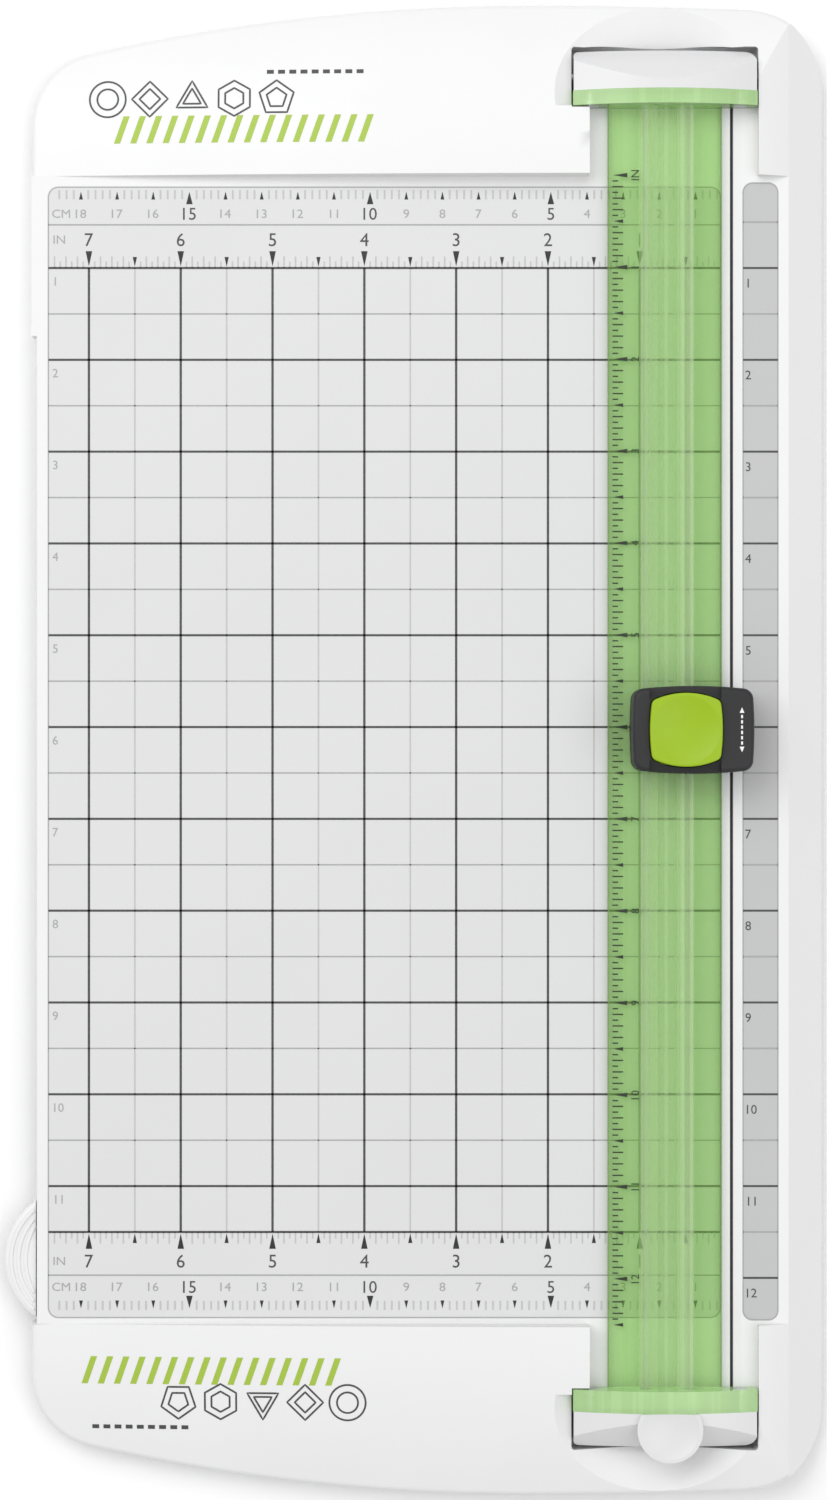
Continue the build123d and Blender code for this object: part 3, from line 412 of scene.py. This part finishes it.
inkWear = {
    "cover": 1800, "coverFrom": 0.5, "coverSoft": 0.3, "coverRough": 0.1, "bump": 0.2, "depth": 0.00002,
}
inkLook = {
    # light and deep tone, roughness
    "black_ink": ((0.012, 0.012, 0.013), (0.03, 0.03, 0.032), 0.42),
    # this grey also draws the painted shadow line round the mat and the side strip
    "grey_ink_and_edge_shadow": ((0.36, 0.36, 0.365), (0.43, 0.43, 0.435), 0.46),
    "pale_ink": ((0.5, 0.5, 0.505), (0.56, 0.56, 0.565), 0.46),
    "line_ink": ((0.055, 0.055, 0.058), (0.09, 0.09, 0.095), 0.44),
    "lime_ink": ((0.36, 0.52, 0.05), (0.32, 0.47, 0.04), 0.36),
    "white_ink": ((0.86, 0.86, 0.86), (0.74, 0.74, 0.74), 0.4),
    "rail_ink": ((0.01, 0.02, 0.006), (0.02, 0.035, 0.012), 0.42),
}


def screenInk(title):
    # screen-printed ink: slightly uneven cover, with pinholes of the second tone
    wear = inkWear
    light, deep, rough = inkLook[title]
    finish = Finish(title)
    cover = finish.noise(wear["cover"], 3)
    colour = finish.tones(cover.above(wear["coverFrom"], wear["coverSoft"]), light, deep)
    roughness = rough + cover * wear["coverRough"]
    return finish.paint(colour, roughness, cover, wear["bump"], wear["depth"])


inks = {title: screenInk(title) for title in inkLook}

finishOf = {
    "base_shell": shellPlastic,
    "bottom_cover": coverPlastic,
    "rubber_feet": footRubber,
    "cover_screws": zincSteel,
    "grid_mat": matFilm,
    "side_strip": stripFilm,
    "cutting_strip": grooveStrip,
    "hinge_pin": zincSteel,
    "pin_keepers": shellPlastic,
    "pivot_washer": zincSteel,
    "pivot_screw": zincSteel,
    "rail": railAcrylic,
    "hinge_cap": capPlastic,
    "latch_cap": capPlastic,
    "cap_screws": zincSteel,
    "carriage_body": carriagePlastic,
    "carriage_slider": sliderPlastic,
    "slider_screws": zincSteel,
    "press_button": buttonPlastic,
    "blade_carrier": carrierPlastic,
    "blade_axle": zincSteel,
    "blade_washer": zincSteel,
    "rotary_blade": bladeSteel,
    "button_spring": springWire,
    "extension_arm": shellPlastic,
}
for name, node in nodes.items():
    node.data.materials.clear()
    node.data.materials.append(finishOf[name])
print("stage: finishes on", len(finishOf), "parts")


# Printed marks: flat shapes, laid on a surface and given the ink's thickness

def bars(rows):
    # quads from rows of left, right, near, far
    left, right, near, far = np.asarray(rows, float).T
    x = np.stack([left, right, right, left], 1)
    y = np.stack([near, near, far, far], 1)
    points = np.stack([x, y], 2).reshape(-1, 2)
    return points, np.arange(len(points)).reshape(-1, 4).tolist()


def pointers(tips, bases, width):
    # triangles from a tip to a base centre, the base at right angles to the line between them
    tips, bases = np.asarray(tips, float), np.asarray(bases, float)
    reach = bases - tips
    side = np.stack([-reach[:, 1], reach[:, 0]], 1)
    side *= width / 2 / np.linalg.norm(reach, axis=1)[:, None]
    points = np.stack([tips, bases - side, bases + side], 1).reshape(-1, 2)
    return points, np.arange(len(points)).reshape(-1, 3).tolist()


def ribbon(path, width):
    # strip of quads round a closed path: each point moves half the width to both sides of the path's way
    way = np.roll(path, -1, 0) - np.roll(path, 1, 0)
    way /= np.linalg.norm(way, axis=1)[:, None]
    side = np.stack([-way[:, 1], way[:, 0]], 1) * width / 2
    points = np.vstack([path - side, path + side])
    count = len(path)
    start = np.arange(count)
    after = (start + 1) % count
    return points, np.stack([start, after, after + count, start + count], 1).tolist()


def roundedLoop(box, steps=9):
    # corner centre plus a quarter turn of the radius at each corner, anticlockwise from the near right
    left, right, near, far = box["left"], box["right"], box["near"], box["far"]
    turn = np.linspace(0, math.pi / 2, steps)
    loop = []
    for quarter, (x, y) in enumerate(((right, near), (right, far), (left, far), (left, near))):
        centreX = x + box["corner"] * (1 if x == left else -1)
        centreY = y + box["corner"] * (1 if y == near else -1)
        angle = turn + (quarter - 1) * math.pi / 2
        arc = np.stack([np.cos(angle), np.sin(angle)], 1) * box["corner"]
        loop.append(arc + [centreX, centreY])
    return np.vstack(loop)


capHeight = 0.729  # of the built-in font, in its own units
glyphs = {}


def glyph(text):
    # outline of the text in the built-in font, capitals 1 high, centred on the origin
    if text not in glyphs:
        words = bpy.data.curves.new("words", "FONT")
        words.body = text
        words.resolution_u = 3
        holder = bpy.data.objects.new("words", words)
        made = bpy.data.meshes.new_from_object(holder)
        points = np.empty(len(made.vertices) * 3)
        made.vertices.foreach_get("co", points)
        points = points.reshape(-1, 3)[:, :2]
        faces = [list(face.vertices) for face in made.polygons]
        faceDown = np.array([face.normal.z for face in made.polygons]).mean() < 0
        faces = [face[::-1] for face in faces] if faceDown else faces
        middle = (points.min(0) + points.max(0)) / 2
        glyphs[text] = ((points - [middle[0], capHeight / 2]) / capHeight, faces)
        bpy.data.objects.remove(holder)
        bpy.data.curves.remove(words)
        bpy.data.meshes.remove(made)
    return glyphs[text]


def labels(rows, size, quarters=0, widen=1.0):
    # text centred on its place, turned anticlockwise by quarter turns; rows are text, x, y
    turn = quarters * math.pi / 2
    spin = np.array([[math.cos(turn), math.sin(turn)], [-math.sin(turn), math.cos(turn)]])
    shapes = []
    for text, x, y in rows:
        points, faces = glyph(str(text))
        shapes.append(((points * [size * widen, size]) @ spin + [x, y], faces))
    return joined(shapes)


def joined(shapes):
    points, faces, count = [], [], 0
    for some, rings in shapes:
        points.append(some)
        faces += [[corner + count for corner in ring] for ring in rings]
        count += len(some)
    return np.vstack(points), faces


def newPiece(title, points, faces, finish):
    mesh = bpy.data.meshes.new(title)
    mesh.from_pydata((np.asarray(points) * mm).tolist(), [], faces)
    mesh.materials.append(finish)
    mesh.update()
    piece = bpy.data.objects.new(title, mesh)
    bpy.context.scene.collection.objects.link(piece)
    return piece


inkRise = 0.05  # above the surface
inkDepth = 0.08  # the rest reaches down into it


def printOn(title, shapes, level, body, ink):
    # lays flat shapes at a height, which may vary over x and y, and thickens them down into the surface
    points, faces = joined(shapes)
    height = level(points[:, 0], points[:, 1]) if callable(level) else np.full(len(points), level)
    piece = newPiece(title, np.column_stack([points, height + inkRise]), faces, inks[ink])
    skin = piece.modifiers.new("ink_thickness", "SOLIDIFY")
    skin.thickness = inkDepth * mm
    skin.offset = -1
    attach(piece, body)


def inRow(x, y):
    # points with one of their two coordinates the same for all
    return np.stack(np.broadcast_arrays(x, y), 1)


# Mat: an inch grid, and a centimetre and an inch scale along its far and near edges

mat = {
    "left": -105.0, "right": 80.9, "near": -157.0, "far": 155.7, "corner": 2.8, "level": 13.0,
    "rim": 0.3,
}
cutX = 84.0  # the cut line, where the scales across begin
zeroY = 158.75  # where the scales along the cut begin

matMarks = {
    # distances from the mat's middle line along the cut; a pointer has its tip, base and width
    "cmTick": (152.4, 154.9), "cmPointer": (154.5, 152.3, 1.05), "fivePointer": (154.4, 151.0, 1.8),
    "inchPointer": (133.8, 138.0, 1.8), "halfPointer": (133.7, 136.4, 1.15),
    "cmNumber": 148.45, "divider": 145.3, "inchNumber": 141.3, "firstLine": 133.35,
    "cmUnit": -101.5, "inchUnit": -102.0,  # places across
    "cmTickHalf": 0.25, "inchTickHalf": 0.2, "dividerHalf": 0.2, "longTick": 3.2, "shortTick": 1.8,
    "cmSize": 2.5, "unitSize": 2.4, "fiveSize": 3.5, "inchSize": 3.8, "rowSize": 2.5, "widen": 1.1,
    "rowHalf": 0.3, "columnHalf": 0.32, "halfRowHalf": 0.18, "halfColumnHalf": 0.2,
    "rowNumber": (1.9, 2.9, 3.6),  # from the left for one digit and for two, and below its line
    "cmTicks": (4, 188, 2), "cms": 18, "inches": 7, "rows": 11, "sixteenths": (3, 119),
}


def edgeScales(side, inkShapes):
    # both scales of one edge: side is 1 for the far edge, -1 for the near one
    m = matMarks
    cms = np.arange(1, m["cms"] + 1)
    fives, singles = cms[cms % 5 == 0], cms[cms % 5 > 0]
    inches = np.arange(1, m["inches"] + 1)
    everyTwo = np.arange(*m["cmTicks"])

    def ticks(places, half, first, last):
        low, high = sorted((side * first, side * last))
        return bars([(x - half, x + half, low, high) for x in places])

    def arrows(places, name):
        tip, base, width = m[name]
        return pointers(inRow(places, side * tip), inRow(places, side * base), width)

    def numbers(values, pitch, place, size, widen=1.0):
        return labels([(n, cutX - pitch * n, side * m[place]) for n in values], size, widen=widen)

    inkShapes["black_ink"] += [
        arrows(cutX - 10.0 * singles, "cmPointer"),
        arrows(cutX - 10.0 * fives, "fivePointer"),
        arrows(cutX - inch * inches, "inchPointer"),
        arrows(cutX - inch * (inches - 0.5), "halfPointer"),
    ]
    inkShapes["line_ink"] += [
        numbers(fives, 10, "cmNumber", m["fiveSize"]),
        numbers(inches, inch, "inchNumber", m["inchSize"]),
    ]
    units = [("CM", m["cmUnit"], side * m["cmNumber"]), ("IN", m["inchUnit"], side * m["inchNumber"])]
    divider = side * m["divider"]
    inkShapes["grey_ink_and_edge_shadow"] += [
        numbers(singles, 10, "cmNumber", m["cmSize"], m["widen"]),
        labels(units, m["unitSize"], widen=m["widen"]),
        bars([(mat["left"], mat["right"], divider - m["dividerHalf"], divider + m["dividerHalf"])]),
    ]
    inkShapes["pale_ink"].append(
        ticks(cutX - everyTwo[everyTwo % 10 > 0], m["cmTickHalf"], *m["cmTick"])
    )
    sixteenths = np.arange(*m["sixteenths"])
    for wanted, reach in ((sixteenths % 2 > 0, "shortTick"), (sixteenths % 8 % 2 == 0, "longTick")):
        places = cutX - inch * sixteenths[wanted & (sixteenths % 8 > 0)] / 16
        last = m["firstLine"] + m[reach]
        inkShapes["pale_ink"].append(ticks(places, m["inchTickHalf"], m["firstLine"], last))


def matPrint():
    m = matMarks
    left, right = mat["left"], mat["right"]
    far, near = m["firstLine"], -m["firstLine"]
    inkShapes = {"black_ink": [], "line_ink": [], "grey_ink_and_edge_shadow": [], "pale_ink": []}
    for side in (1, -1):
        edgeScales(side, inkShapes)

    def across(places, half):
        return bars([(left, right, y - half, y + half) for y in places])

    def down(places, half):
        return bars([(x - half, x + half, near, far) for x in places])

    rows = np.arange(1, m["rows"] + 1)
    columns = np.arange(1, m["inches"] + 1)
    oneDigit, twoDigits, drop = m["rowNumber"]
    rowNumbers = [
        (n, left + (oneDigit if n < 10 else twoDigits), zeroY - inch * n - drop) for n in rows
    ]
    inkShapes["line_ink"] += [
        across([*(zeroY - inch * rows), near], m["rowHalf"]),
        down(cutX - inch * columns, m["columnHalf"]),
    ]
    inkShapes["grey_ink_and_edge_shadow"] += [
        across(zeroY - inch * (rows[:-1] + 0.5), m["halfRowHalf"]),
        labels(rowNumbers, m["rowSize"]),
        # painted shadow: a thin grey ring along the mat's edge, where it meets its recess
        ribbon(roundedLoop(mat), mat["rim"]),
    ]
    inkShapes["pale_ink"].append(down(cutX - inch * (columns - 0.5), m["halfColumnHalf"]))
    for ink, shapes in inkShapes.items():
        printOn("mat_" + ink, shapes, mat["level"], "base", ink)


matPrint()


# Side strip: a line at every half inch, the inches darker and numbered below their line

strip = {
    "left": 87.2, "right": 96.8, "near": -157.6, "far": 156.8, "corner": 2.6, "level": 13.0,
    "rim": 0.32, "inches": 12, "wholeHalf": 0.28, "halfHalf": 0.22,
    "oneDigit": 88.6, "twoDigits": 89.6, "drop": 4.1, "size": 2.6,
}


def stripPrint():
    inches = np.arange(1, strip["inches"] + 1)

    def across(places, half):
        return bars([(strip["left"], strip["right"], y - half, y + half) for y in places])

    numbers = [
        (n, strip["oneDigit"] if n < 10 else strip["twoDigits"], zeroY - inch * n - strip["drop"])
        for n in inches
    ]
    # painted shadow: a thin grey ring along the strip's edge, where it meets its recess
    rim = ribbon(roundedLoop(strip), strip["rim"])
    dark = [across(zeroY - inch * inches, strip["wholeHalf"]), labels(numbers, strip["size"])]
    grey = [across(zeroY - inch * (inches - 0.5), strip["halfHalf"]), rim]
    printOn("strip_line_ink", dark, strip["level"], "base", "line_ink")
    printOn("strip_grey_lines_and_edge_shadow", grey, strip["level"], "base", "grey_ink_and_edge_shadow")


stripPrint()


# Rail ruler: sixteenths of an inch down the rail's left flat, numbers turned to read along it

ruler = {
    "level": 15.1, "start": 50.95, "short": 52.5, "long": 53.9, "tickHalf": 0.19, "inches": 12.5,
    "tip": 51.15, "inchBase": 55.05, "inchWidth": 1.25, "halfBase": 53.9, "halfWidth": 1.05,
    "pointers": 13, "number": 57.15, "size": 2.3,
}


def railPrint():
    r = ruler
    rows = []
    for n in range(1, int(r["inches"] * 16)):
        y = zeroY - inch * n / 16
        end = r["long"] if n % 2 == 0 else r["short"]
        if n % 8:
            rows.append((r["start"], end, y - r["tickHalf"], y + r["tickHalf"]))
    black = [bars(rows)]
    for offset, kind in ((0.0, "inch"), (0.5, "half")):
        y = zeroY - inch * (np.arange(r["pointers"]) + offset)
        black.append(pointers(inRow(r["tip"], y), inRow(r[kind + "Base"], y), r[kind + "Width"]))
    names = [("IN", r["number"], zeroY)]
    names += [(n, r["number"], zeroY - inch * n) for n in range(1, r["pointers"])]
    black.append(labels(names, r["size"], quarters=1))
    printOn("rail_ruler_ink", black, r["level"], "rail_arm", "rail_ink")


railPrint()


# Ruler arm: the mat's inch scale goes on past it, so a mark's distance from the cut, less the
# pivot's, is its distance along the arm

armRuler = {
    "level": 8.4, "pivot": 103.0, "reach": 182.5, "start": -107.9, "short": -106.4, "long": -105.2,
    "tickHalf": 0.19, "base": -104.3, "width": 1.5, "number": -102.0, "size": 3.4,
    "inches": (8, 18), "eighths": (64, 139),
}


def armPrint():
    a = armRuler
    rows = []
    for n in range(*a["eighths"]):
        y = a["pivot"] - (inch * n / 8 - a["reach"])
        end = a["long"] if n % 4 == 0 else a["short"]
        if n % 8:
            rows.append((a["start"], end, y - a["tickHalf"], y + a["tickHalf"]))
    inches = np.arange(*a["inches"])
    y = a["pivot"] - (inch * inches - a["reach"])
    numbers = [(n, a["number"], place) for n, place in zip(inches, y)]
    black = [
        bars(rows),
        pointers(inRow(a["start"], y), inRow(a["base"], y), a["width"]),
        labels(numbers, a["size"], quarters=1),
    ]
    printOn("arm_ruler_ink", black, a["level"], "ruler_arm", "line_ink")


armPrint()


# Carriage: a dashed arrow with two heads, along the way it slides

slideMark = {
    "x": 85.4, "near": -0.6, "far": 11.6, "level": 32.0, "width": 0.5, "head": 1.5, "headWidth": 1.3,
    "gap": 1.0, "dashes": 6, "dashHalf": 0.45,
}


def carriagePrint():
    m = slideMark
    ends = np.array([(m["x"], m["near"]), (m["x"], m["far"])])
    bases = ends + [(0, m["head"]), (0, -m["head"])]
    clear = m["head"] + m["gap"]
    dashes = np.linspace(m["near"] + clear, m["far"] - clear, m["dashes"])
    left, right = m["x"] - m["width"] / 2, m["x"] + m["width"] / 2
    rows = [(left, right, y - m["dashHalf"], y + m["dashHalf"]) for y in dashes]
    shapes = [pointers(ends, bases, m["headWidth"]), bars(rows)]
    printOn("carriage_arrow_ink", shapes, m["level"], "carriage", "white_ink")


carriagePrint()


# Head motif: outlined shapes over a row of leaning bars; the near head's copy is turned half round

headPrint = {
    "domeTop": 20.0, "domeX": 55.0, "domeY": 160.0, "alongR": 132.0, "acrossR": 1800.0,
    "shapeSides": (48, 4, 3, 6, 5), "shapeX": -88.6, "shapePitch": 11.7, "shapeY": 180.0, "shapeR": 5.0,
    "innerShare": 0.58, "outline": 0.5, "outlinePoints": (48, 60, 60, 60, 60),
    "barX": -86.8, "barPitch": 4.5, "barCount": 16, "barFoot": 167.6, "barTop": 175.2, "barWide": 1.7,
    "barLean": 0.35, "barRows": 7,
    "dashX": -44.5, "dashPitch": 3.1, "dashCount": 9, "dashY": 187.4, "dashLong": 1.9, "dashHalf": 0.55,
    "middleX": -55.4,
}


def domeHeight(x, y):
    # a swept arc: the radius from the far-below axis at y, then the circle of that radius at x
    h = headPrint
    radius = h["acrossR"] - h["alongR"] + np.sqrt(h["alongR"] ** 2 - (np.abs(y) - h["domeY"]) ** 2)
    return h["domeTop"] - h["acrossR"] + np.sqrt(radius**2 - (x - h["domeX"]) ** 2)


def polygonLoop(x, y, radius, sides, count):
    # polygon edge in polar form: the inner radius over the cosine of the angle from the side's middle
    angle = np.arange(count) / count * 2 * math.pi
    part = math.pi / sides
    reach = radius * math.cos(part) / np.cos((angle % (2 * part)) - part)
    angle = angle + math.pi / 2
    return np.stack([x + reach * np.cos(angle), y + reach * np.sin(angle)], 1)


def leaningBar(x):
    # a bar that leans as it rises, on a grid of two columns, fine enough along y to follow the dome
    h = headPrint
    rows = h["barRows"]
    y = np.linspace(h["barFoot"], h["barTop"], rows)
    left = x + (y - h["barFoot"]) * h["barLean"]
    points = np.vstack([np.stack([left, y], 1), np.stack([left + h["barWide"], y], 1)])
    start = np.arange(rows - 1)
    return points, np.stack([start, start + rows, start + rows + 1, start + 1], 1).tolist()


def headMotif():
    h = headPrint
    dark = []
    for number, (sides, count) in enumerate(zip(h["shapeSides"], h["outlinePoints"])):
        x = h["shapeX"] + number * h["shapePitch"]
        for radius in (h["shapeR"], h["shapeR"] * h["innerShare"]):
            dark.append(ribbon(polygonLoop(x, h["shapeY"], radius, sides, count), h["outline"]))
    dashes = h["dashX"] + h["dashPitch"] * np.arange(h["dashCount"])
    low, high = h["dashY"] - h["dashHalf"], h["dashY"] + h["dashHalf"]
    dark.append(bars([(x, x + h["dashLong"], low, high) for x in dashes]))
    lime = [leaningBar(x) for x in h["barX"] + h["barPitch"] * np.arange(h["barCount"])]
    for ink, shapes in (("line_ink", dark), ("lime_ink", lime)):
        points, faces = joined(shapes)
        turned = (np.array([2 * h["middleX"], 0.0]) - points, faces)
        printOn("head_" + ink, [(points, faces), turned], domeHeight, "base", ink)


headMotif()
print("stage: scales printed")


# The button's spring: a coil of wire, built at one length

spring = {
    "x": 66.5, "y": 5.5, "foot": 21.4, "tall": 9.1, "radius": 3.2, "wire": 0.35, "turns": 5,
    "steps": 36, "sides": 12, "press": 3.0,
}


def springCoil():
    # a helix swept by the wire's circle: the centre line climbs evenly as it turns, and each ring
    # of the tube stands across it, from the outward and the upward direction; flat ends
    s = spring
    turn = np.linspace(0, s["turns"] * 2 * math.pi, s["turns"] * s["steps"] + 1)
    climb = (s["tall"] - 2 * s["wire"]) / turn[-1]
    outward = np.stack([np.cos(turn), np.sin(turn), np.zeros_like(turn)], 1)
    upward = np.stack([climb * np.sin(turn), -climb * np.cos(turn), np.full_like(turn, s["radius"])], 1)
    upward /= np.linalg.norm(upward, axis=1)[:, None]
    centre = outward * s["radius"] + [s["x"], s["y"], s["foot"] + s["wire"]]
    centre[:, 2] += climb * turn
    angle = (np.arange(s["sides"]) / s["sides"] * 2 * math.pi)[None, :, None]
    across = np.cos(angle) * outward[:, None] + np.sin(angle) * upward[:, None]
    points = (centre[:, None] + s["wire"] * across).reshape(-1, 3)
    ring, side = np.meshgrid(np.arange(len(turn) - 1), np.arange(s["sides"]), indexing="ij")
    after = (side + 1) % s["sides"]
    here, ahead = ring * s["sides"], (ring + 1) * s["sides"]
    walls = np.stack([here + side, ahead + side, ahead + after, here + after], 2).reshape(-1, 4).tolist()
    first = list(range(s["sides"]))
    last = [len(points) - 1 - corner for corner in first]
    coil = newPiece("button_return_coil", points, walls + [first, last], springWire)
    coil.data.polygons.foreach_set("use_smooth", [True] * len(walls) + [False, False])
    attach(coil, "carriage")
    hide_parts("button_spring")
    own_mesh(coil)


springCoil()
print("stage: spring coiled")


# Floor, light and camera

floorLook = {
    "light": (0.96, 0.96, 0.96), "deep": (0.94, 0.94, 0.94), "rough": 0.7, "gloss": 0.2,
    "clouds": 6, "grain": 400, "bump": 0.05, "depth": 0.0001, "half": 3000.0,
}


def paleFloor(look):
    finish = Finish("pale_table", Specular_IOR_Level=look["gloss"])
    shade = finish.tones(finish.noise(look["clouds"]), look["light"], look["deep"])
    grain = finish.noise(look["grain"])
    material = finish.paint(shade, look["rough"], grain, look["bump"], look["depth"])
    half = look["half"]
    corners = [(-half, -half, 0), (half, -half, 0), (half, half, 0), (-half, half, 0)]
    newPiece("pale_floor", corners, [[0, 1, 2, 3]], material)


paleFloor(floorLook)

studio = {
    "world": 0.57,
    "lamps": [
        # place, size, watts
        ((-0.9, 0.6, 1.5), 1.2, 12),
        ((0.9, -0.3, 1.7), 1.4, 9),
        ((0.0, 0.9, 1.4), 0.9, 4),
    ],
}


def lightStudio():
    world = bpy.data.worlds.new("studio_air")
    world.use_nodes = True
    world.node_tree.nodes["Background"].inputs["Color"].default_value = (1, 1, 1, 1)
    world.node_tree.nodes["Background"].inputs["Strength"].default_value = studio["world"]
    bpy.context.scene.world = world
    for number, (place, size, watts) in enumerate(studio["lamps"]):
        lamp = bpy.data.lights.new(f"softbox_{number}", "AREA")
        lamp.size = size
        lamp.energy = watts
        holder = bpy.data.objects.new(lamp.name, lamp)
        holder.location = place
        x, y, z = place
        tilt = math.acos(z / math.hypot(x, y, z))  # each lamp faces the origin
        holder.rotation_euler = (tilt, 0, math.atan2(y, x) + math.pi / 2)
        bpy.context.scene.collection.objects.link(holder)


lightStudio()

shot = {"place": (-0.0040, 0.0, 1.1658), "lens": 100, "sensor": 36}  # it looks straight down
camera = bpy.data.objects.new("camera", bpy.data.cameras.new("camera"))
camera.data.lens = shot["lens"]
camera.data.sensor_width = shot["sensor"]
camera.location = shot["place"]
bpy.context.scene.collection.objects.link(camera)
bpy.context.scene.camera = camera
bpy.context.scene.view_settings.view_transform = "Standard"
print("stage: light and camera set")
